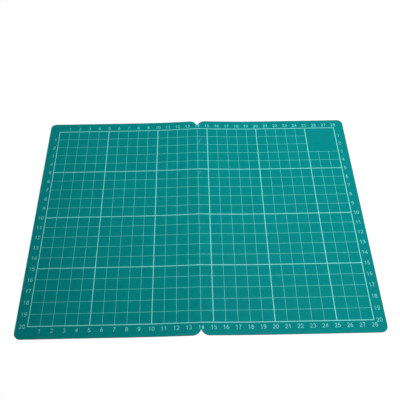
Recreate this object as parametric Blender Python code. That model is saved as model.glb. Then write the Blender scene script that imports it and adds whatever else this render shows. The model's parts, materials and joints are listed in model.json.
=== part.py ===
"""Folding cutting mat: two laminated halves that hinge on their printed face sheet.

Metres, +Z up. The mat lies open on the plane z = 0, with its fold along Y at x = 0, +X along
its long side and +Y away from its near edge. Each half is a stack of five bonded plies. A groove
cut from the back through the four lower plies leaves only the face sheet across the fold, where
it bends as a living hinge. The fold keeps a low crest: each half rises towards it from the part
that lies flat.
"""
import math

import bmesh
import bpy

# Outline of the open sheet
SHEET_WIDTH = 0.300
SHEET_DEPTH = 0.220
CORNER_RADIUS = 0.005
FAR_NOTCH_DEPTH = 0.0053
NEAR_NOTCH_DEPTH = 0.0042
NOTCH_ANGLE = math.radians(78)
NOTCH_SHOULDER_RADIUS = 0.0075
ARC_STEPS = 8

# Plies, each bonded to the next with a thin glue line
SKIN_THICKNESS = 0.00039
CUSHION_THICKNESS = 0.00035
CORE_THICKNESS = 0.00040
GLUE_LINE = 0.00003

# Fold: the groove in the back, and the crest that the sheet keeps along it
GROOVE_WIDTH = 0.0012
CREST_HEIGHT = 0.0023
CREST_REACH = 0.070
CREST_FALLOFF = 2.2
CREST_STEPS = 12
CREST_STEP_GROWTH = 1.5

# Points closer than this are one point
WELD_DISTANCE = 0.00001
COPLANAR_ANGLE = math.radians(0.1)
SMOOTH_ANGLE = math.radians(30)

# Surface of each ply: linear colour and roughness
FACE_GREEN = (0.0015, 0.223, 0.216)
CUSHION_GREEN = (0.0010, 0.141, 0.133)
CORE_GREEN = (0.0008, 0.089, 0.084)
BACK_GREEN = (0.0010, 0.171, 0.162)
PVC_ROUGHNESS = 0.5

# Name, thickness and colour of each ply, from the table up
PLIES = (
    ("back_sheet", SKIN_THICKNESS, BACK_GREEN),
    ("lower_cushion", CUSHION_THICKNESS, CUSHION_GREEN),
    ("core", CORE_THICKNESS, CORE_GREEN),
    ("upper_cushion", CUSHION_THICKNESS, CUSHION_GREEN),
    ("face_sheet", SKIN_THICKNESS, FACE_GREEN),
)
STACK_HEIGHT = sum(thickness for _, thickness, _ in PLIES) + GLUE_LINE * (len(PLIES) - 1)

# The web bends round a quarter of its width, so the fold axis lies that far above the crest
BEND_RADIUS = GROOVE_WIDTH / 4
FOLD_AXIS_HEIGHT = STACK_HEIGHT + CREST_HEIGHT + BEND_RADIUS


def empty_scene():
    for old in list(bpy.data.objects):
        bpy.data.objects.remove(old, do_unlink=True)


def make_collection(name):
    collection = bpy.data.collections.new(name)
    bpy.context.scene.collection.children.link(collection)
    return collection


def make_material(name, colour):
    material = bpy.data.materials.new(name)
    material.use_nodes = True
    shader = material.node_tree.nodes["Principled BSDF"]
    shader.inputs["Base Color"].default_value = (*colour, 1.0)
    shader.inputs["Roughness"].default_value = PVC_ROUGHNESS
    shader.inputs["Metallic"].default_value = 0.0
    return material


def arc(centre, radius, start, end):
    """Points along an arc, both ends included."""
    points = []
    for step in range(ARC_STEPS + 1):
        angle = start + (end - start) * step / ARC_STEPS
        x = centre[0] + radius * math.cos(angle)
        y = centre[1] + radius * math.sin(angle)
        points.append((x, y))
    return points


def notch_y(x, notch_depth):
    """Distance of a notch's straight wall from the sheet's middle, at x from the fold."""
    return SHEET_DEPTH / 2 - notch_depth + abs(x) / math.tan(NOTCH_ANGLE / 2)


def quarter_outline(inner_x, notch_depth):
    """Far edge of the right half from inner_x outwards: notch wall, shoulder and corner."""
    turn = math.pi / 2 - NOTCH_ANGLE / 2
    notch_mouth_x = notch_depth * math.tan(NOTCH_ANGLE / 2)
    shoulder_x = notch_mouth_x + NOTCH_SHOULDER_RADIUS * math.tan(turn / 2)
    shoulder = (shoulder_x, SHEET_DEPTH / 2 - NOTCH_SHOULDER_RADIUS)
    corner = (SHEET_WIDTH / 2 - CORNER_RADIUS, SHEET_DEPTH / 2 - CORNER_RADIUS)
    points = [(inner_x, notch_y(inner_x, notch_depth))]
    points += arc(shoulder, NOTCH_SHOULDER_RADIUS, math.pi / 2 + turn, math.pi / 2)
    points += arc(corner, CORNER_RADIUS, math.pi / 2, 0.0)
    return points


def half_outline(inner_x):
    """Outline of the right half from inner_x outwards: out along the far edge, back along the near."""
    far = quarter_outline(inner_x, FAR_NOTCH_DEPTH)
    near = [(x, -y) for x, y in reversed(quarter_outline(inner_x, NEAR_NOTCH_DEPTH))]
    return far + near


def web_outline(half_width):
    """Outline of the band across the fold, with a notch tip at each end."""
    places = (-half_width, 0.0, half_width)
    far = [(x, notch_y(x, FAR_NOTCH_DEPTH)) for x in places]
    near = [(x, -notch_y(x, NEAR_NOTCH_DEPTH)) for x in reversed(places)]
    return far + near


def crest_stations():
    """Distances from the fold where the crest's slope changes, closer together near the fold."""
    return [CREST_REACH * (step / CREST_STEPS) ** CREST_STEP_GROWTH for step in range(CREST_STEPS + 1)]


def crest_rise(distance):
    """Height of the sheet's underside above the table, at a distance from the fold."""
    return CREST_HEIGHT * max(0.0, 1.0 - distance / CREST_REACH) ** CREST_FALLOFF


def strip_rise(distance, stations):
    """Crest height along flat strips between the stations, the same for every ply."""
    for inner, outer in zip(stations, stations[1:]):
        if distance <= outer:
            share = (distance - inner) / (outer - inner)
            return crest_rise(inner) + share * (crest_rise(outer) - crest_rise(inner))
    return 0.0


def flat_sheet(name, outline, thickness):
    """Mesh of a flat sheet, centred on z = 0, with the given outline."""
    curve = bpy.data.curves.new(name, "CURVE")
    curve.dimensions = "2D"
    curve.fill_mode = "BOTH"
    curve.extrude = thickness / 2
    spline = curve.splines.new("POLY")
    spline.points.add(len(outline) - 1)
    for point, (x, y) in zip(spline.points, outline):
        point.co = (x, y, 0.0, 1.0)
    spline.use_cyclic_u = True
    drawn = bpy.data.objects.new(name, curve)
    bpy.context.scene.collection.objects.link(drawn)
    evaluated = drawn.evaluated_get(bpy.context.evaluated_depsgraph_get())
    mesh = bpy.data.meshes.new_from_object(evaluated)
    bpy.data.objects.remove(drawn, do_unlink=True)
    bpy.data.curves.remove(curve)
    return mesh


def raise_to_crest(mesh, thickness):
    """Close the sheet, cut it into strips and lift them to the crest, underside at z = 0."""
    stations = crest_stations()
    shape = bmesh.new()
    shape.from_mesh(mesh)
    bmesh.ops.remove_doubles(shape, verts=shape.verts, dist=WELD_DISTANCE)
    bmesh.ops.dissolve_limit(shape, angle_limit=COPLANAR_ANGLE, verts=shape.verts, edges=shape.edges)
    for x in sorted({side * station for station in stations for side in (-1, 1)}):
        geometry = [*shape.verts, *shape.edges, *shape.faces]
        bmesh.ops.bisect_plane(
            shape, geom=geometry, dist=WELD_DISTANCE, plane_co=(x, 0, 0), plane_no=(1, 0, 0)
        )
    for vertex in shape.verts:
        vertex.co.z += thickness / 2 + strip_rise(abs(vertex.co.x), stations)
    bmesh.ops.recalc_face_normals(shape, faces=shape.faces)
    shape.to_mesh(mesh)
    shape.free()
    mesh.shade_smooth()
    mesh.set_sharp_from_angle(angle=SMOOTH_ANGLE)


def add_ply(name, outline, thickness, colour, underside, collection, pivot=None):
    """One ply whose flat part has its underside at the given height, carried by the pivot if any."""
    mesh = flat_sheet(name, outline, thickness)
    raise_to_crest(mesh, thickness)
    mesh.materials.clear()
    mesh.materials.append(make_material(name, colour))
    ply = bpy.data.objects.new(name, mesh)
    collection.objects.link(ply)
    ply.location.z = underside
    if pivot is not None:
        ply.parent = pivot
        ply.location.z = underside - pivot.location.z
    return ply


def add_fold_axis(collection):
    """Empty on the axis that the right half turns about."""
    axis = bpy.data.objects.new("fold_axis", None)
    axis.empty_display_size = GROOVE_WIDTH * 10
    axis.location = (0.0, 0.0, FOLD_AXIS_HEIGHT)
    collection.objects.link(axis)
    return axis


def add_halves(collection, fold_axis):
    """Both stacks of plies. The left half stays, and the right half turns with the fold axis."""
    right = half_outline(GROOVE_WIDTH / 2)
    left = [(-x, y) for x, y in right]
    underside = 0.0
    for ply_name, thickness, colour in PLIES:
        add_ply(ply_name + "_left", left, thickness, colour, underside, collection)
        add_ply(ply_name + "_right", right, thickness, colour, underside, collection, fold_axis)
        underside += thickness + GLUE_LINE


def add_fold_web(collection):
    """Band of the face sheet that is left across the groove and bends with the fold."""
    outline = web_outline(GROOVE_WIDTH / 2 - GLUE_LINE)
    add_ply("fold_web", outline, SKIN_THICKNESS, FACE_GREEN, STACK_HEIGHT - SKIN_THICKNESS, collection)


def main():
    empty_scene()
    collection = make_collection("folding_cutting_mat")
    fold_axis = add_fold_axis(collection)
    add_halves(collection, fold_axis)
    add_fold_web(collection)


main()
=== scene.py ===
import json
import math
from collections import namedtuple

import bmesh
import bpy
from mathutils import Matrix, Vector


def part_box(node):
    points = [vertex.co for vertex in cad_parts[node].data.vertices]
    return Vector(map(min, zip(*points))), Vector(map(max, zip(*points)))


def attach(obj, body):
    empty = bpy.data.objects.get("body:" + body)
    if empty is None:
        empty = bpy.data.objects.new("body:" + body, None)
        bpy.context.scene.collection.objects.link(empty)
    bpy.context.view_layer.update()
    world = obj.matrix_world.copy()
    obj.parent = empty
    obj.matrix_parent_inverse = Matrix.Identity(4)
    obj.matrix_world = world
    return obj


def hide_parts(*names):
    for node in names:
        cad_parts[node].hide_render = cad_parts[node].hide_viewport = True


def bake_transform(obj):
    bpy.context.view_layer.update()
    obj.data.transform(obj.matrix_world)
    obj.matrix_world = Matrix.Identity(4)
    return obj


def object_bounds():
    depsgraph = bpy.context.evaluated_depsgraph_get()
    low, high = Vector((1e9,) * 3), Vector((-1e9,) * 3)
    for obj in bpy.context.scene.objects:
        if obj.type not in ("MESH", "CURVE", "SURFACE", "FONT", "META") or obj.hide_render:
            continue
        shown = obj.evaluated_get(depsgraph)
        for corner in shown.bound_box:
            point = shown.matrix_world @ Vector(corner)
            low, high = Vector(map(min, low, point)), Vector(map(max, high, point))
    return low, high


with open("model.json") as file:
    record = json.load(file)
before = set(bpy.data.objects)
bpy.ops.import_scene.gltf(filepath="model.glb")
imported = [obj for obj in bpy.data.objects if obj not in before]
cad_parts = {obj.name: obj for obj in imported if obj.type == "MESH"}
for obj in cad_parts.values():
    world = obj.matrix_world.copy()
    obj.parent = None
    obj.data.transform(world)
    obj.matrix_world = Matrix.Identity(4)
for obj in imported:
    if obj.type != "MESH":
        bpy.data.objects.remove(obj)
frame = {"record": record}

CAD_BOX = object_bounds()
MOUNTS = {mount["name"]: mount for mount in frame["record"]["mounts"]}
LEFT, RIGHT = "left_half", "right_half"
INNER_PLIES = ("lower_cushion", "core", "upper_cushion")

# Sheet, from the frame where it says so. The face sheet and the back sheet are equally thick
HALF_WIDTH = CAD_BOX[1].x
HALF_DEPTH = CAD_BOX[1].y
FACE_TOP = MOUNTS["work_left"]["pos_m"][2]
FACE_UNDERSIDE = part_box("face_sheet_left")[0].z
SKIN_THICKNESS = FACE_TOP - FACE_UNDERSIDE
GROOVE_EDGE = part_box("back_sheet_right")[0].x
CREST_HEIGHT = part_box("fold_web")[1].z - FACE_TOP
CREST_REACH = 0.070
CREST_FALLOFF = 2.2
RIDGE_ROUNDING = 0.00025
CORNER_RADIUS = 0.005
FAR_NOTCH_DEPTH = 0.0053
NEAR_NOTCH_DEPTH = 0.0042
NOTCH_ANGLE = math.radians(78)
NOTCH_SHOULDER_RADIUS = 0.0075

# Columns of vertices, crowded at the fold and at the corners
WEB_COLUMNS = 12
CREASE_STEP = 0.0006
CREASE_ZONE = 0.0090
CREST_STEP = 0.0031
FLAT_STEP = 0.010
CORNER_COLUMNS = 7

# Rows of vertices, straight as far as STRAIGHT_ROWS from the middle and along the edges beyond it
STRAIGHT_ROWS = 0.1030
FACE_ROW_STEP = 0.0010
BACK_ROW_STEP = 0.0100
RIM_ROWS = 3

# Rim, where a wall meets a top or underside, whose normal is more upright than LEVEL_NORMAL
RIM_RADIUS = 0.00008
RIM_SEGMENTS = 2
LEVEL_NORMAL = 0.5
SMOOTH_ANGLE = math.radians(40)

# Puckers and dents that folding leaves in the face beside the fold line
Pucker = namedtuple("Pucker", "x y lean length width height wear")

# Each leans from the fold line by some degrees. Wear above 0 whitens the face, and below 0 it is painted
# shade that darkens the face in a dent
PUCKERS = (
    Pucker(0.0023, 0.0842, 18, 0.0060, 0.00055, 0.00009, 0.90),
    Pucker(0.0019, 0.0462, 22, 0.0062, 0.00055, 0.00010, 0.62),
    Pucker(-0.0010, 0.0205, -20, 0.0040, 0.00060, 0.00004, 0.10),
    Pucker(0.0010, -0.0150, 16, 0.0045, 0.00060, 0.00004, 0.10),
    Pucker(-0.0012, -0.0480, -26, 0.0045, 0.00060, 0.00004, 0.10),
    # Painted shade: these two dents carry negative wear, a darker colour in place of the shade that falls
    # in them
    Pucker(0.0014, -0.0840, 2, 0.0080, 0.00060, -0.00006, -0.45),
    Pucker(0.0026, -0.0890, 20, 0.0045, 0.00160, -0.00010, -0.50),
    Pucker(0.0058, -0.0850, 14, 0.0085, 0.00200, 0.00018, 0.0),
)

# A pucker is felt as far as this many of its lengths. The ridge of the fold is whitened a little too
PUCKER_REACH = 3
RIDGE_WEAR = 0.05

# Print: a grid of centimetres, with every fifth line heavier and a bare block in the far right corner
CM = 0.01
GRID_COLUMNS = 28
GRID_ROWS = 20
HEAVY_EVERY = 5
BARE_CELLS = 3
THIN_LINE = 0.00020
HEAVY_LINE = 0.00060
BORDER_LINE = 0.00060
LINE_STEP = 0.002
NONE_LEFT_OUT = 1000

# Strip of print over the fold, made on its own and in finer steps
FOLD_COLUMN = GRID_COLUMNS // 2
FOLD_PRINT = 0.001
FOLD_PRINT_STEP = 0.0001

# Ink as a solid, sunk a little into the face, and dropped onto it from PROBE_HEIGHT
INK_THICKNESS = 0.000016
INK_SUNK = 0.000004
INK_LAYER = 0.000002
PROBE_HEIGHT = 0.02

# Numerals, in metres
NUMERAL_HEIGHT = 0.0034
NUMERAL_STROKE = 0.00037
NUMERAL_GAP = 0.0021
NOTCH_CLEARANCE = 0.0002
SAME_POINT = 1e-7

# Digits, in heights of a digit. A round stroke has a step for about every STROKE_TURN degrees
DIGIT_WIDTH = 0.62
DIGIT_ADVANCE = 0.78
STROKE_TURN = 20
FEWEST_STROKE_STEPS = 3

# Linear colours
WHITE = (1.0, 1.0, 1.0)
FACE_GREEN = (0.0008, 0.226, 0.224)
BACK_GREEN = (0.0012, 0.190, 0.182)
CUSHION_GREEN = (0.0010, 0.141, 0.133)
CORE_GREEN = (0.0008, 0.089, 0.084)
WORN_GREEN = (0.060, 0.370, 0.360)
# Painted shade in the dents beside the fold: a darker green in place of the shade that falls in them
DENT_SHADE_GREEN = (0.0006, 0.140, 0.138)
PRINT_WHITE = (0.23, 0.80, 0.80)
THIN_PRINT = (0.165, 0.80, 0.80)

# Noise patterns: scale, detail and roughness
CLOUDS = (22.0, 4.0, 0.6)
SPECKS = (420.0, 3.0, 0.7)
GRAIN = (1800.0, 2.0, 0.5)
INK_PATCHES = (900.0, 3.0, 0.5)

# PVC. Clouds and specks change its colour by a share, and clouds change its roughness too
CLOUD_TINT = 0.09
SPECK_TINT = 0.06
SPECK_NOISE_SPAN = (0.3, 0.7)
FACE_ROUGHNESS = 0.48
BACK_ROUGHNESS = 0.55
CUT_ROUGHNESS = 0.6
ROUGHNESS_CHANGE = 0.05
GRAIN_STRENGTH = 0.25
GRAIN_HEIGHT = 0.00006
PVC_SPECULAR = 0.04

# Ink. Patches scale its colour between the two values of INK_COVER
INK_COVER = (0.84, 1.10)
INK_NOISE_SPAN = (0.35, 0.65)
INK_ROUGHNESS = 0.5
INK_SPECULAR = 0.15

# Camera: millimetres for lens and sensor, metres, and radians
CAMERA_LENS = 42.784
CAMERA_SENSOR = 36.0
CAMERA_DISTANCE = 0.443918
CAMERA_AIM = (0.001306, 0.016103)
CAMERA_TILT = 0.54217
CAMERA_YAW = -0.01540
CAMERA_ROLL = -0.00467

# Floor and surroundings. The floor glows where it is seen directly, more so far from the mat
FLOOR_DROP = 0.00005
FLOOR_SIZE = 8.0
FLOOR_WHITE = 0.55
FLOOR_SHADOW_SHARE = 0.13
FLOOR_ROUGHNESS = 0.9
GLOW_REACH = (0.25, 0.80)
FLOOR_GLOW = (0.925, 0.99)
WORLD_LEVEL = 0.137

# Softboxes: place, point faced, side, spread in degrees, and power in watts
Softbox = namedtuple("Softbox", "name place aim side spread power")
SOFTBOXES = (
    Softbox("gridded_softbox", (0.302, -0.237, 0.514), (0.095, 0.126, 0.0), 0.558, 58, 1.11),
    Softbox("open_softbox", (0.153, 0.130, 0.600), (0.100, 0.050, 0.0), 0.250, 180, 0.70),
)


# Shape of the sheet


def crest_rise(x):
    """Height of the sheet above the table at x from the fold, with the ridge slightly rounded."""
    distance = math.hypot(x, RIDGE_ROUNDING)
    return CREST_HEIGHT * max(0.0, 1.0 - distance / CREST_REACH) ** CREST_FALLOFF


def rounded_edge_y(radius, along):
    """Distance of a rounded stretch of edge from the sheet's middle, at some way along its arc."""
    return HALF_DEPTH - radius + math.sqrt(radius**2 - along**2)


def edge_y(x, notch_depth):
    """Distance of an edge from the sheet's middle: notch wall, shoulder, straight edge, corner."""
    distance = abs(x)
    turn = math.pi / 2 - NOTCH_ANGLE / 2
    mouth_x = notch_depth * math.tan(NOTCH_ANGLE / 2)
    shoulder_x = mouth_x + NOTCH_SHOULDER_RADIUS * math.tan(turn / 2)
    corner_x = HALF_WIDTH - CORNER_RADIUS
    if distance < shoulder_x - NOTCH_SHOULDER_RADIUS * math.sin(turn):
        return HALF_DEPTH - notch_depth + distance / math.tan(NOTCH_ANGLE / 2)
    if distance < shoulder_x:
        return rounded_edge_y(NOTCH_SHOULDER_RADIUS, shoulder_x - distance)
    if distance > corner_x:
        return rounded_edge_y(CORNER_RADIUS, min(distance - corner_x, CORNER_RADIUS))
    return HALF_DEPTH


def spaced(start, end, count):
    """The given number of evenly spaced places from start towards end, without the end itself."""
    return [start + (end - start) * index / count for index in range(count)]


def even_steps(start, end, step):
    """Places from start towards end at about the given step, without the end itself."""
    return spaced(start, end, max(1, round((end - start) / step)))


def outer_columns():
    """Places of the vertex columns from the groove's edge to the sheet's side."""
    corner_x = HALF_WIDTH - CORNER_RADIUS
    places = even_steps(GROOVE_EDGE, CREASE_ZONE, CREASE_STEP)
    places += even_steps(CREASE_ZONE, CREST_REACH, CREST_STEP)
    places += even_steps(CREST_REACH, corner_x, FLAT_STEP)
    for index in range(CORNER_COLUMNS + 1):
        places.append(corner_x + CORNER_RADIUS * math.sin(math.pi / 2 * index / CORNER_COLUMNS))
    return places


def row_places(x, step):
    """Places of the vertex rows from the near edge to the far edge, at x from the fold."""
    near_edge = -edge_y(x, NEAR_NOTCH_DEPTH)
    far_edge = edge_y(x, FAR_NOTCH_DEPTH)
    near = spaced(near_edge, -STRAIGHT_ROWS, RIM_ROWS)
    straight = even_steps(-STRAIGHT_ROWS, STRAIGHT_ROWS, step)
    far = spaced(STRAIGHT_ROWS, far_edge, RIM_ROWS)
    return near + straight + far + [far_edge]


def pucker_share(pucker, x, y):
    """How much of a pucker is felt at a place: 1 at its middle, fading to 0 around it."""
    reach = PUCKER_REACH * pucker.length
    if abs(y - pucker.y) > reach or abs(x - pucker.x) > reach:
        return 0.0
    lean = math.radians(pucker.lean)
    along = (y - pucker.y) * math.cos(lean) + (x - pucker.x) * math.sin(lean)
    across = (x - pucker.x) * math.cos(lean) - (y - pucker.y) * math.sin(lean)
    return math.exp(-((2 * along / pucker.length) ** 2) - (across / pucker.width) ** 2)


def pucker_rise(x, y):
    """Height that the puckers and dents add to the face at a place."""
    return sum(pucker.height * pucker_share(pucker, x, y) for pucker in PUCKERS)


def crease_wear(x, y):
    """How much folding whitens the face at a place, on puckers and ridge, and how much painted shade
    darkens it in dents.
    """
    ridge = RIDGE_WEAR * math.exp(-((x / (2 * GROOVE_EDGE)) ** 2))
    return ridge + sum(pucker.wear * pucker_share(pucker, x, y) for pucker in PUCKERS)


def flat_sheet(columns, row_step, underside, top):
    """Closed flat sheet between two heights, over a grid of columns and rows."""
    rows = [row_places(x, row_step) for x in columns]
    column_steps, row_steps = len(columns) - 1, len(rows[0]) - 1
    shape = bmesh.new()
    bmesh.ops.create_grid(shape, x_segments=column_steps, y_segments=row_steps, size=1)
    for vertex in shape.verts:
        column = round((vertex.co.x + 1) / 2 * column_steps)
        row = round((vertex.co.y + 1) / 2 * row_steps)
        vertex.co = (columns[column], rows[column][row], top)
    walls = bmesh.ops.extrude_face_region(shape, geom=shape.faces[:])
    for vertex in (item for item in walls["geom"] if isinstance(item, bmesh.types.BMVert)):
        vertex.co.z = underside
    bmesh.ops.recalc_face_normals(shape, faces=shape.faces)
    shape.normal_update()
    return shape


def round_rim(shape, side):
    """Round the rim of the sheet's top where side is 1, or of its underside where side is -1."""
    rim = []
    for edge in shape.edges:
        tilts = sorted(face.normal.z * side for face in edge.link_faces)
        if tilts[0] < LEVEL_NORMAL < tilts[1]:
            rim.append(edge)
    bmesh.ops.bevel(
        shape, geom=rim, offset=RIM_RADIUS, segments=RIM_SEGMENTS, profile=0.5, affect="EDGES"
    )


def sheet_mesh(name, columns, row_step, underside, top, rounded_side, puckered=False):
    """Closed sheet with one rim rounded, raised to the crest, and puckered where it is folded."""
    shape = flat_sheet(columns, row_step, underside, top)
    round_rim(shape, rounded_side)
    for vertex in shape.verts:
        x, y, _ = vertex.co
        vertex.co.z += crest_rise(x)
        if puckered:
            vertex.co.z += pucker_rise(x, y)
    mesh = bpy.data.meshes.new(name)
    shape.to_mesh(mesh)
    shape.free()
    mesh.shade_smooth()
    mesh.set_sharp_from_angle(angle=SMOOTH_ANGLE)
    return mesh


# Values kept on the points of a mesh, for the materials


def keep_rest_place(mesh):
    """Store where each point lies on the open mat, so that a pattern stays put when the mat bends."""
    places = [0.0] * (3 * len(mesh.vertices))
    mesh.vertices.foreach_get("co", places)
    mesh.attributes.new("rest_place", "FLOAT_VECTOR", "POINT").data.foreach_set("vector", places)


def keep_numbers(mesh, name, numbers):
    """Store a number for each point under the given name."""
    mesh.attributes.new(name, "FLOAT", "POINT").data.foreach_set("value", numbers)


# Node trees


def set_inputs(tree, node, inputs):
    """Write each value on the node's input of that name or number, or link it if it is a socket."""
    for key, value in inputs.items():
        if isinstance(value, bpy.types.NodeSocket):
            tree.links.new(value, node.inputs[key])
        else:
            node.inputs[key].default_value = value


def add_node(tree, kind, inputs=None, **properties):
    """Node of the kind, with its properties and inputs set. Gives its outputs."""
    node = tree.nodes.new(kind)
    for key, value in properties.items():
        setattr(node, key, value)
    set_inputs(tree, node, inputs or {})
    return node.outputs


def calculated(tree, operation, first, second, clamp=False):
    """Sum, product or other result of two numbers, held between 0 and 1 where clamp is set."""
    numbers = {0: first, 1: second}
    return add_node(tree, "ShaderNodeMath", numbers, operation=operation, use_clamp=clamp)["Value"]


def remapped(tree, value, to_span, from_span=(0.0, 1.0)):
    """The value, moved from one span of numbers to another and held within it."""
    spans = {
        "From Min": from_span[0],
        "From Max": from_span[1],
        "To Min": to_span[0],
        "To Max": to_span[1],
    }
    return add_node(tree, "ShaderNodeMapRange", {"Value": value, **spans})["Result"]


def noise(tree, place, pattern):
    """Noise of the pattern's scale, detail and roughness."""
    scale, detail, roughness = pattern
    inputs = {"Vector": place, "Scale": scale, "Detail": detail, "Roughness": roughness}
    return add_node(tree, "ShaderNodeTexNoise", inputs)["Fac"]


def rgba(colour, brightness=1.0):
    """The colour times a brightness, as a socket's four values."""
    return (*[channel * brightness for channel in colour], 1.0)


def mixed(tree, share, start, end):
    """Colour that runs from start to end as the share goes from 0 to 1."""
    inputs = {"Factor": share, "A": start, "B": end}
    return add_node(tree, "ShaderNodeMix", inputs, data_type="RGBA")["Result"]


def scaled(tree, colour, scale):
    """The colour, made lighter or darker by a scale."""
    return add_node(tree, "ShaderNodeVectorMath", {0: colour, "Scale": scale}, operation="SCALE")["Vector"]


def attribute(tree, name):
    """Outputs of a value that is kept on the mesh."""
    return add_node(tree, "ShaderNodeAttribute", attribute_name=name)


# Finishes


def new_material(name):
    """Material, its node tree and its shader."""
    material = bpy.data.materials.new(name)
    material.use_nodes = True
    return material, material.node_tree, material.node_tree.nodes["Principled BSDF"]


def pvc(name, colour, roughness, on_rest_place=False, worn_and_shaded=False):
    """Calendered PVC: faint cloudy mottling, a fine matt grain, whitened creases where worn, and painted
    shade that darkens the dents.
    """
    material, tree, shader = new_material(name)
    if on_rest_place:
        place = attribute(tree, "rest_place")["Vector"]
    else:
        place = add_node(tree, "ShaderNodeTexCoord")["Object"]
    clouds = noise(tree, place, CLOUDS)
    mottled = mixed(tree, clouds, rgba(colour, 1 - CLOUD_TINT), rgba(colour, 1 + CLOUD_TINT))
    speck_span = (1 - SPECK_TINT, 1 + SPECK_TINT)
    specks = remapped(tree, noise(tree, place, SPECKS), speck_span, SPECK_NOISE_SPAN)
    surface = scaled(tree, mottled, specks)
    if worn_and_shaded:
        whitening_and_dent_shade = calculated(tree, "MULTIPLY", attribute(tree, "crease_wear")["Fac"], specks)
        # Painted shade: where the kept value is below 0 the dents are darkened in place of their shade
        painted_dent_shade = calculated(tree, "MULTIPLY", whitening_and_dent_shade, -1.0, clamp=True)
        surface = mixed(tree, whitening_and_dent_shade, surface, rgba(WORN_GREEN))
        surface = mixed(tree, painted_dent_shade, surface, rgba(DENT_SHADE_GREEN))
    grain = {"Height": noise(tree, place, GRAIN), "Strength": GRAIN_STRENGTH, "Distance": GRAIN_HEIGHT}
    finish = {
        "Base Color": surface,
        "Roughness": remapped(tree, clouds, (roughness - ROUGHNESS_CHANGE, roughness + ROUGHNESS_CHANGE)),
        "Normal": add_node(tree, "ShaderNodeBump", grain)["Normal"],
        "Specular IOR Level": PVC_SPECULAR,
    }
    set_inputs(tree, shader, finish)
    return material


def print_ink():
    """White screen print, patchy at a fine scale, with a little of the green showing through.

    More of it shows where the thin_ink value on the mesh says that a line is thin."""
    material, tree, shader = new_material("print_ink")
    patches = noise(tree, attribute(tree, "rest_place")["Vector"], INK_PATCHES)
    cover = remapped(tree, patches, INK_COVER, INK_NOISE_SPAN)
    ink = mixed(tree, attribute(tree, "thin_ink")["Fac"], rgba(PRINT_WHITE), rgba(THIN_PRINT))
    finish = {
        "Base Color": scaled(tree, ink, cover),
        "Roughness": INK_ROUGHNESS,
        "Specular IOR Level": INK_SPECULAR,
    }
    set_inputs(tree, shader, finish)
    return material


# Geometry node trees that rule the lines and lay the print on the face


def tree_with_inputs(name, inputs):
    """Geometry node tree with the named inputs. Gives the tree, the inputs and its result's socket."""
    tree = bpy.data.node_groups.new(name, "GeometryNodeTree")
    tree.interface.new_socket("Geometry", in_out="INPUT", socket_type="NodeSocketGeometry")
    for input_name, kind in inputs:
        tree.interface.new_socket(input_name, in_out="INPUT", socket_type="NodeSocket" + kind)
    tree.interface.new_socket("Geometry", in_out="OUTPUT", socket_type="NodeSocketGeometry")
    given = tree.nodes.new("NodeGroupInput").outputs
    result = tree.nodes.new("NodeGroupOutput").inputs["Geometry"]
    return tree, given, result


def laid_on_face(tree, given, geometry):
    """The geometry with each point dropped straight onto the face, plus the point's own height."""
    face = add_node(tree, "GeometryNodeObjectInfo", {"Object": given["Face"]}, transform_space="ORIGINAL")
    position = add_node(tree, "GeometryNodeInputPosition")["Position"]
    here = add_node(tree, "ShaderNodeSeparateXYZ", {"Vector": position})
    over_here = {"X": here["X"], "Y": here["Y"], "Z": PROBE_HEIGHT}
    ray = add_node(
        tree,
        "GeometryNodeRaycast",
        {
            "Target Geometry": face["Geometry"],
            "Source Position": add_node(tree, "ShaderNodeCombineXYZ", over_here)["Vector"],
            "Ray Direction": (0.0, 0.0, -1.0),
            "Ray Length": PROBE_HEIGHT * 2,
        },
    )
    struck = add_node(tree, "ShaderNodeSeparateXYZ", {"Vector": ray["Hit Position"]})
    raised = calculated(tree, "ADD", struck["Z"], here["Z"])
    landed = add_node(tree, "ShaderNodeCombineXYZ", {"X": here["X"], "Y": here["Y"], "Z": raised})
    moves = {"Geometry": geometry, "Position": landed["Vector"]}
    return add_node(tree, "GeometryNodeSetPosition", moves)["Geometry"]


def finish_print_tree(tree, given, result, shapes):
    """Last nodes of both trees: real geometry instead of instances, laid on the face and inked."""
    real = add_node(tree, "GeometryNodeRealizeInstances", {"Geometry": shapes})["Geometry"]
    inked = {"Geometry": laid_on_face(tree, given, real), "Material": given["Ink"]}
    tree.links.new(add_node(tree, "GeometryNodeSetMaterial", inked)["Geometry"], result)


def ruled_lines_tree():
    """Parallel strips of ink at even steps, with every so many left out, laid on the face."""
    tree, given, result = tree_with_inputs(
        "ruled_lines",
        (
            ("Count", "Int"),
            ("First", "Vector"),
            ("Step", "Vector"),
            ("Leave Out Every", "Int"),
            ("Strip Size", "Vector"),
            ("Parts Along", "Int"),
            ("Turn", "Float"),
            ("Face", "Object"),
            ("Ink", "Material"),
        ),
    )
    steps = {"Count": given["Count"], "Start Location": given["First"], "Offset": given["Step"]}
    places = add_node(tree, "GeometryNodeMeshLine", steps, mode="OFFSET")["Mesh"]
    number = calculated(tree, "ADD", add_node(tree, "GeometryNodeInputIndex")["Index"], 1.0)
    remainder = calculated(tree, "FLOORED_MODULO", number, given["Leave Out Every"])
    size = {
        "Size": given["Strip Size"],
        "Vertices X": given["Parts Along"],
        "Vertices Y": 2,
        "Vertices Z": 2,
    }
    strips = add_node(
        tree,
        "GeometryNodeInstanceOnPoints",
        {
            "Points": places,
            "Selection": calculated(tree, "GREATER_THAN", remainder, 0.5),
            "Instance": add_node(tree, "GeometryNodeMeshCube", size)["Mesh"],
            "Rotation": add_node(tree, "ShaderNodeCombineXYZ", {"Z": given["Turn"]})["Vector"],
        },
    )
    finish_print_tree(tree, given, result, strips["Instances"])
    return tree


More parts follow.
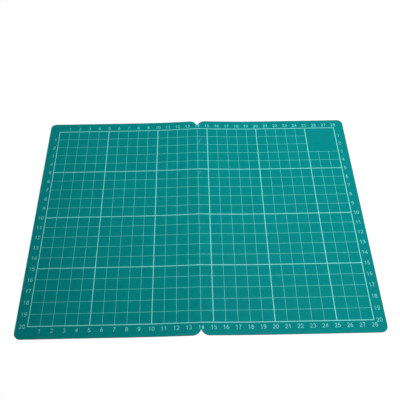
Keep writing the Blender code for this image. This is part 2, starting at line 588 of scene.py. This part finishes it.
def stroked_numerals_tree():
    """Strips of ink along loose edges, laid on the face."""
    tree, given, result = tree_with_inputs(
        "stroked_numerals",
        (("Stroke Width", "Float"), ("Ink Thickness", "Float"), ("Face", "Object"), ("Ink", "Material")),
    )
    size = {"Width": given["Stroke Width"], "Height": given["Ink Thickness"]}
    strips = add_node(
        tree,
        "GeometryNodeCurveToMesh",
        {
            "Curve": add_node(tree, "GeometryNodeMeshToCurve", {"Mesh": given["Geometry"]})["Curve"],
            "Profile Curve": add_node(tree, "GeometryNodeCurvePrimitiveQuadrilateral", size)["Curve"],
            "Fill Caps": True,
        },
    )
    finish_print_tree(tree, given, result, strips["Mesh"])
    return tree


def grown_mesh(name, start_mesh, tree, values):
    """Plain mesh that the tree makes from the start mesh with the given input values."""
    carrier = bpy.data.objects.new(name, start_mesh)
    bpy.context.scene.collection.objects.link(carrier)
    modifier = carrier.modifiers.new(name, "NODES")
    modifier.node_group = tree
    for item in tree.interface.items_tree:
        if item.in_out == "INPUT" and item.name in values:
            modifier[item.identifier] = values[item.name]
    evaluated = carrier.evaluated_get(bpy.context.evaluated_depsgraph_get())
    mesh = bpy.data.meshes.new_from_object(evaluated)
    bpy.data.objects.remove(carrier, do_unlink=True)
    return mesh


# Ruled lines, in sets of parallel ones


def grid_x(line):
    """Place of an upright grid line, counted in centimetres from the left border."""
    return (line - GRID_COLUMNS / 2) * CM


def grid_y(line):
    """Place of a level grid line, counted in centimetres from the far border."""
    return (GRID_ROWS / 2 - line) * CM


def upright_lines(lines, width, leave_out_every=NONE_LEFT_OUT, top_line=0):
    """Values of a set of lines along Y, from a level line down to the near border.

    A range of line numbers says which. Where some are left out, it starts after one of those."""
    top, bottom = grid_y(top_line), grid_y(GRID_ROWS)
    length = top - bottom
    return {
        "Count": len(lines),
        "First": (grid_x(lines.start), (top + bottom) / 2, 0.0),
        "Step": (lines.step * CM, 0.0, 0.0),
        "Leave Out Every": leave_out_every,
        "Strip Size": (length, width, INK_THICKNESS),
        "Parts Along": round(length / LINE_STEP) + 1,
        "Turn": math.pi / 2,
    }


def level_lines(lines, width, start, end, leave_out_every=NONE_LEFT_OUT, step=LINE_STEP):
    """Values of a set of lines along X, between two places, from a range as in upright_lines."""
    length = end - start
    return {
        "Count": len(lines),
        "First": ((start + end) / 2, grid_y(lines.start), 0.0),
        "Step": (0.0, -lines.step * CM, 0.0),
        "Leave Out Every": leave_out_every,
        "Strip Size": (length, width, INK_THICKNESS),
        "Parts Along": round(length / step) + 1,
        "Turn": 0.0,
    }


def left_line_sets(thin_rows, heavy_rows, border_rows):
    """Sets of lines between the left border and the strip over the fold."""
    start, end = grid_x(0), -FOLD_PRINT
    return [
        upright_lines(range(1, FOLD_COLUMN), THIN_LINE, HEAVY_EVERY),
        level_lines(thin_rows, THIN_LINE, start, end, HEAVY_EVERY),
        upright_lines(range(HEAVY_EVERY, FOLD_COLUMN, HEAVY_EVERY), HEAVY_LINE),
        level_lines(heavy_rows, HEAVY_LINE, start, end),
        upright_lines(range(1), BORDER_LINE),
        level_lines(border_rows, BORDER_LINE, start - BORDER_LINE / 2, end),
    ]


def right_line_sets(heavy_rows, border_rows):
    """Sets of lines between the strip over the fold and the right border, round the bare block.

    The line next to the fold is a heavy one, and so is the line along the block."""
    start, end = FOLD_PRINT, grid_x(GRID_COLUMNS)
    first_column = FOLD_COLUMN + 1
    block_column = GRID_COLUMNS - BARE_CELLS
    return [
        upright_lines(range(first_column + 1, block_column), THIN_LINE, HEAVY_EVERY),
        upright_lines(range(block_column + 1, GRID_COLUMNS), THIN_LINE, top_line=BARE_CELLS),
        level_lines(range(1, BARE_CELLS), THIN_LINE, start, grid_x(block_column)),
        level_lines(range(BARE_CELLS, HEAVY_EVERY), THIN_LINE, start, end),
        level_lines(range(HEAVY_EVERY + 1, GRID_ROWS), THIN_LINE, start, end, HEAVY_EVERY),
        upright_lines(range(first_column, GRID_COLUMNS, HEAVY_EVERY), HEAVY_LINE),
        level_lines(heavy_rows, HEAVY_LINE, start, end),
        upright_lines(range(GRID_COLUMNS, GRID_COLUMNS + 1), BORDER_LINE),
        level_lines(border_rows, BORDER_LINE, start, end + BORDER_LINE / 2),
    ]


def fold_line_sets(thin_rows, heavy_rows, border_rows):
    """Sets of lines in the strip over the fold, in steps fine enough to bend with it."""
    start, end, step = -FOLD_PRINT, FOLD_PRINT, FOLD_PRINT_STEP
    return [
        upright_lines(range(FOLD_COLUMN, FOLD_COLUMN + 1), THIN_LINE),
        level_lines(thin_rows, THIN_LINE, start, end, HEAVY_EVERY, step),
        level_lines(heavy_rows, HEAVY_LINE, start, end, step=step),
        level_lines(border_rows, BORDER_LINE, start, end, step=step),
    ]


def line_sets():
    """Every set of ruled lines, for the left half, the right half and the strip over the fold."""
    thin_rows = range(1, GRID_ROWS)
    heavy_rows = range(HEAVY_EVERY, GRID_ROWS, HEAVY_EVERY)
    border_rows = range(0, GRID_ROWS + 1, GRID_ROWS)
    return {
        "ruled_lines_left": left_line_sets(thin_rows, heavy_rows, border_rows),
        "ruled_lines_right": right_line_sets(heavy_rows, border_rows),
        "ruled_lines_fold": fold_line_sets(thin_rows, heavy_rows, border_rows),
    }


def joined_mesh(name, meshes):
    """One mesh of all the given ones."""
    shape = bmesh.new()
    for mesh in meshes:
        shape.from_mesh(mesh)
    whole = bpy.data.meshes.new(name)
    shape.to_mesh(whole)
    shape.free()
    return whole


def ruled_lines_mesh(name, sets, tree, face, ink):
    """All the sets of one piece, each a little higher than the last so that crossings don't clash."""
    meshes = []
    for layer, values in enumerate(sets):
        height = INK_THICKNESS / 2 - INK_SUNK + layer * INK_LAYER
        x, y, _ = values["First"]
        _, width, _ = values["Strip Size"]
        placed = {**values, "First": (x, y, height), "Face": face, "Ink": ink}
        mesh = grown_mesh(name, bpy.data.meshes.new(name), tree, placed)
        keep_numbers(mesh, "thin_ink", [float(width == THIN_LINE)] * len(mesh.vertices))
        meshes.append(mesh)
    return joined_mesh(name, meshes)


# Strokes of the digits: middle lines in a box one unit high and DIGIT_WIDTH wide


def arc_stroke(centre_x, centre_y, radius_x, radius_y, start, end):
    """Points of an elliptic arc between two angles in degrees."""
    steps = max(FEWEST_STROKE_STEPS, round(abs(end - start) / STROKE_TURN))
    points = []
    for step in range(steps + 1):
        angle = math.radians(start + (end - start) * step / steps)
        points.append((centre_x + radius_x * math.cos(angle), centre_y + radius_y * math.sin(angle)))
    return points


OVAL = arc_stroke(0.31, 0.62, 0.25, 0.33, 0, 180) + arc_stroke(0.31, 0.38, 0.25, 0.33, 180, 360)
SIX = (arc_stroke(0.31, 0.31, 0.25, 0.26, 0, 360), arc_stroke(0.42, 0.36, 0.36, 0.60, 180, 75))
DIGITS = {
    "0": ([*OVAL, OVAL[0]],),
    "1": ([(0.36, 0.0), (0.36, 1.0)], [(0.38, 0.93), (0.15, 0.75)]),
    "2": (arc_stroke(0.31, 0.69, 0.24, 0.26, 165, -35) + [(0.06, 0.05)], [(0.03, 0.05), (0.59, 0.05)]),
    "3": (arc_stroke(0.29, 0.73, 0.22, 0.22, 155, -90), arc_stroke(0.29, 0.29, 0.26, 0.24, 90, -155)),
    "4": ([(0.43, 0.0), (0.43, 1.0)], [(0.43, 0.95), (0.05, 0.30)], [(0.02, 0.30), (0.61, 0.30)]),
    "5": (
        [(0.55, 0.95), (0.13, 0.95)],
        [(0.15, 0.97), (0.09, 0.47)],
        arc_stroke(0.29, 0.33, 0.26, 0.28, 140, -155),
    ),
    "6": SIX,
    "7": ([(0.04, 0.95), (0.58, 0.95)], [(0.57, 0.95), (0.38, 0.62), (0.27, 0.30), (0.23, 0.0)]),
    "8": (arc_stroke(0.31, 0.735, 0.21, 0.215, 0, 360), arc_stroke(0.31, 0.285, 0.25, 0.235, 0, 360)),
    "9": tuple([(DIGIT_WIDTH - x, 1.0 - y) for x, y in stroke] for stroke in SIX),
}


def numeral_strokes(number, x, y, anchor):
    """Strokes of a number with its middle at y and its left, middle or right at x, as anchor says."""
    text = str(number)
    width = (len(text) - 1) * DIGIT_ADVANCE + DIGIT_WIDTH
    start = {"left": 0.0, "middle": -width / 2, "right": -width}[anchor]
    strokes = []
    for place, digit in enumerate(text):
        across = start + place * DIGIT_ADVANCE
        for stroke in DIGITS[digit]:
            points = [
                (x + NUMERAL_HEIGHT * (across + point_x), y + NUMERAL_HEIGHT * (point_y - 0.5))
                for point_x, point_y in stroke
            ]
            strokes.append(points)
    return strokes


def numeral_sets():
    """Strokes of all the numerals, for the left half, the right half and the strip over the fold."""
    far_y = grid_y(0) + NUMERAL_GAP + NUMERAL_HEIGHT / 2
    near_y = grid_y(GRID_ROWS) - NUMERAL_GAP - NUMERAL_HEIGHT / 2
    left, right, fold = [], [], []
    for number in range(1, GRID_COLUMNS + 1):
        part = left if number < FOLD_COLUMN else right
        if number == FOLD_COLUMN:
            part = fold
        for row_y in (far_y, near_y):
            part += numeral_strokes(number, grid_x(number), row_y, "middle")
    for number in range(1, GRID_ROWS + 1):
        left += numeral_strokes(number, grid_x(0) - NUMERAL_GAP, grid_y(number), "right")
        right += numeral_strokes(number, grid_x(GRID_COLUMNS) + NUMERAL_GAP, grid_y(number), "left")
    return {"numerals_left": left, "numerals_right": right, "numerals_fold": fold}


def stroke_lines(name, strokes):
    """Mesh of loose edges along the strokes, at half the height of the ink. A closed stroke is a ring."""
    points, edges = [], []
    for stroke in strokes:
        first = len(points)
        closed = math.dist(stroke[0], stroke[-1]) < SAME_POINT
        drawn = stroke[:-1] if closed else stroke
        points += [(x, y, INK_THICKNESS / 2 - INK_SUNK) for x, y in drawn]
        last = len(points) - 1
        edges += [(index, index + 1) for index in range(first, last)]
        if closed:
            edges.append((last, first))
    mesh = bpy.data.meshes.new(name)
    mesh.from_pydata(points, edges, [])
    return mesh


def cut_at_notches(mesh):
    """Remove what the notches take from the numerals on the fold."""
    shape = bmesh.new()
    shape.from_mesh(mesh)
    everything = [*shape.verts, *shape.edges, *shape.faces]
    bmesh.ops.bisect_plane(shape, geom=everything, plane_co=(0, 0, 0), plane_no=(1, 0, 0))
    for end, notch_depth in ((1, FAR_NOTCH_DEPTH), (-1, NEAR_NOTCH_DEPTH)):
        tip = HALF_DEPTH - notch_depth - NOTCH_CLEARANCE
        for side in (-1, 1):
            faces = []
            for face in shape.faces:
                x, y, _ = face.calc_center_median()
                if x * side > 0 and y * end > 0:
                    faces.append(face)
            edges = {edge for face in faces for edge in face.edges}
            verts = {vertex for face in faces for vertex in face.verts}
            bmesh.ops.bisect_plane(
                shape,
                geom=[*verts, *edges, *faces],
                plane_co=(0, end * tip, 0),
                plane_no=(-side * math.cos(NOTCH_ANGLE / 2), end * math.sin(NOTCH_ANGLE / 2), 0),
                clear_outer=True,
            )
    bmesh.ops.holes_fill(shape, edges=[edge for edge in shape.edges if edge.is_boundary], sides=0)
    shape.to_mesh(mesh)
    shape.free()


def turn_faces_outward(mesh):
    """Make every face of the mesh's closed strips point out."""
    shape = bmesh.new()
    shape.from_mesh(mesh)
    bmesh.ops.recalc_face_normals(shape, faces=shape.faces)
    shape.to_mesh(mesh)
    shape.free()


# Pieces


def new_piece(name, mesh, material):
    """Object of the mesh, in the material alone."""
    mesh.materials.clear()
    mesh.materials.append(material)
    piece = bpy.data.objects.new(name, mesh)
    bpy.context.scene.collection.objects.link(piece)
    return piece


def bend_over_fold(piece):
    """Bake the piece's place into its mesh. It is attached to neither half."""
    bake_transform(piece)


def add_face(material):
    """The printed sheet in one piece from side to side."""
    outer = outer_columns()
    web = even_steps(-GROOVE_EDGE, GROOVE_EDGE, 2 * GROOVE_EDGE / WEB_COLUMNS)
    columns = [-x for x in reversed(outer)] + web[1:] + outer
    top = FACE_TOP - INK_THICKNESS
    mesh = sheet_mesh("face_skin", columns, FACE_ROW_STEP, FACE_UNDERSIDE, top, 1, puckered=True)
    keep_rest_place(mesh)
    # Whitening from wear above 0, and painted shade in the dents below 0
    keep_numbers(mesh, "crease_wear", [crease_wear(vertex.co.x, vertex.co.y) for vertex in mesh.vertices])
    face = new_piece("face_skin", mesh, material)
    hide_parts("face_sheet_left", "face_sheet_right", "fold_web")
    return face


def add_back(side_name, side, body, material):
    """The plain sheet under one half."""
    columns = sorted(side * x for x in outer_columns())
    mesh = sheet_mesh("back_skin_" + side_name, columns, BACK_ROW_STEP, 0.0, SKIN_THICKNESS, -1)
    keep_rest_place(mesh)
    back = new_piece("back_skin_" + side_name, mesh, material)
    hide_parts("back_sheet_" + side_name)
    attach(back, body)


def finish_inner_plies():
    """Cut edges of the plies between face and back."""
    cushion = pvc("cushion_pvc", CUSHION_GREEN, CUT_ROUGHNESS)
    core = pvc("core_pvc", CORE_GREEN, CUT_ROUGHNESS)
    for ply in INNER_PLIES:
        for side_name in ("left", "right"):
            node = bpy.data.objects[f"{ply}_{side_name}"]
            node.data.materials.clear()
            node.data.materials.append(core if ply == "core" else cushion)


def add_print_piece(name, mesh, ink):
    """A piece of print that moves with the half that its name ends in. A piece on the fold is attached to
    neither half.
    """
    keep_rest_place(mesh)
    piece = new_piece(name, mesh, ink)
    if piece.name.endswith("_left"):
        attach(piece, LEFT)
    elif piece.name.endswith("_right"):
        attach(piece, RIGHT)
    else:
        bend_over_fold(piece)


def add_print(face, ink):
    """Ruled lines and numerals, each in a left, a right and a fold piece."""
    lines_tree = ruled_lines_tree()
    for name, sets in line_sets().items():
        add_print_piece(name, ruled_lines_mesh(name, sets, lines_tree, face, ink), ink)
    numerals_tree = stroked_numerals_tree()
    sizes = {"Stroke Width": NUMERAL_STROKE, "Ink Thickness": INK_THICKNESS, "Face": face, "Ink": ink}
    for name, strokes in numeral_sets().items():
        mesh = grown_mesh(name, stroke_lines(name, strokes), numerals_tree, sizes)
        if name == "numerals_fold":
            cut_at_notches(mesh)
        turn_faces_outward(mesh)
        add_print_piece(name, mesh, ink)


# View


def add_camera():
    """Camera over the near edge. It aims at a point on the face, tilted back from straight down."""
    data = bpy.data.cameras.new("camera")
    data.lens = CAMERA_LENS
    data.sensor_width = CAMERA_SENSOR
    camera = bpy.data.objects.new("camera", data)
    bpy.context.scene.collection.objects.link(camera)
    aim = Matrix.Translation((*CAMERA_AIM, FACE_TOP))
    yaw = Matrix.Rotation(CAMERA_YAW, 4, "Z")
    tilt = Matrix.Rotation(CAMERA_TILT, 4, "X")
    back_off = Matrix.Translation((0, 0, CAMERA_DISTANCE))
    roll = Matrix.Rotation(CAMERA_ROLL, 4, "Z")
    camera.matrix_world = aim @ yaw @ tilt @ back_off @ roll
    bpy.context.scene.camera = camera


def seen_directly(tree):
    """1 for rays from the camera, and for what metal or glass would show of the background."""
    path = add_node(tree, "ShaderNodeLightPath")
    first = calculated(tree, "MAXIMUM", path["Is Camera Ray"], path["Is Glossy Ray"])
    return calculated(tree, "MAXIMUM", first, path["Is Transmission Ray"])


def add_floor():
    """Pale floor that looks white, takes the mat's shadow and runs into the white background."""
    bpy.ops.mesh.primitive_plane_add(size=FLOOR_SIZE, location=(0, 0, -FLOOR_DROP))
    floor = bpy.context.object
    floor.name = "floor"
    material, tree, shader = new_material("floor")
    seen = seen_directly(tree)
    place = add_node(tree, "ShaderNodeTexCoord")["Object"]
    distance = add_node(tree, "ShaderNodeVectorMath", {0: place}, operation="LENGTH")["Value"]
    glow = remapped(tree, distance, FLOOR_GLOW, GLOW_REACH)
    finish = {
        "Base Color": remapped(tree, seen, (FLOOR_WHITE, FLOOR_SHADOW_SHARE)),
        "Emission Strength": calculated(tree, "MULTIPLY", seen, glow),
        "Emission Color": rgba(WHITE),
        "Roughness": FLOOR_ROUGHNESS,
        "Specular IOR Level": 0.0,
    }
    set_inputs(tree, shader, finish)
    floor.data.materials.append(material)


def set_world():
    """White surroundings: full white where seen, a lower level as light."""
    world = bpy.data.worlds.new("studio")
    world.use_nodes = True
    bpy.context.scene.world = world
    tree = world.node_tree
    level = remapped(tree, seen_directly(tree), (WORLD_LEVEL, 1.0))
    set_inputs(tree, tree.nodes["Background"], {"Color": rgba(WHITE), "Strength": level})


def add_softboxes():
    """A large gridded softbox from the near right, and a small open one whose sheen lies near right."""
    for softbox in SOFTBOXES:
        data = bpy.data.lights.new(softbox.name, "AREA")
        data.shape = "SQUARE"
        data.size = softbox.side
        data.spread = math.radians(softbox.spread)
        data.energy = softbox.power
        light = bpy.data.objects.new(softbox.name, data)
        bpy.context.scene.collection.objects.link(light)
        light.location = softbox.place
        facing = Vector(softbox.aim) - Vector(softbox.place)
        light.rotation_euler = facing.to_track_quat("-Z", "Y").to_euler()
        light.visible_camera = False


def main():
    """The view first, then the sheets, the plies between them and the print."""
    bpy.context.scene.view_settings.view_transform = "Standard"
    add_camera()
    add_floor()
    set_world()
    add_softboxes()
    face = add_face(pvc("face_pvc", FACE_GREEN, FACE_ROUGHNESS, on_rest_place=True, worn_and_shaded=True))
    back = pvc("back_pvc", BACK_GREEN, BACK_ROUGHNESS, on_rest_place=True)
    add_back("left", -1, LEFT, back)
    add_back("right", 1, RIGHT, back)
    finish_inner_plies()
    add_print(face, print_ink())
    bend_over_fold(face)


main()
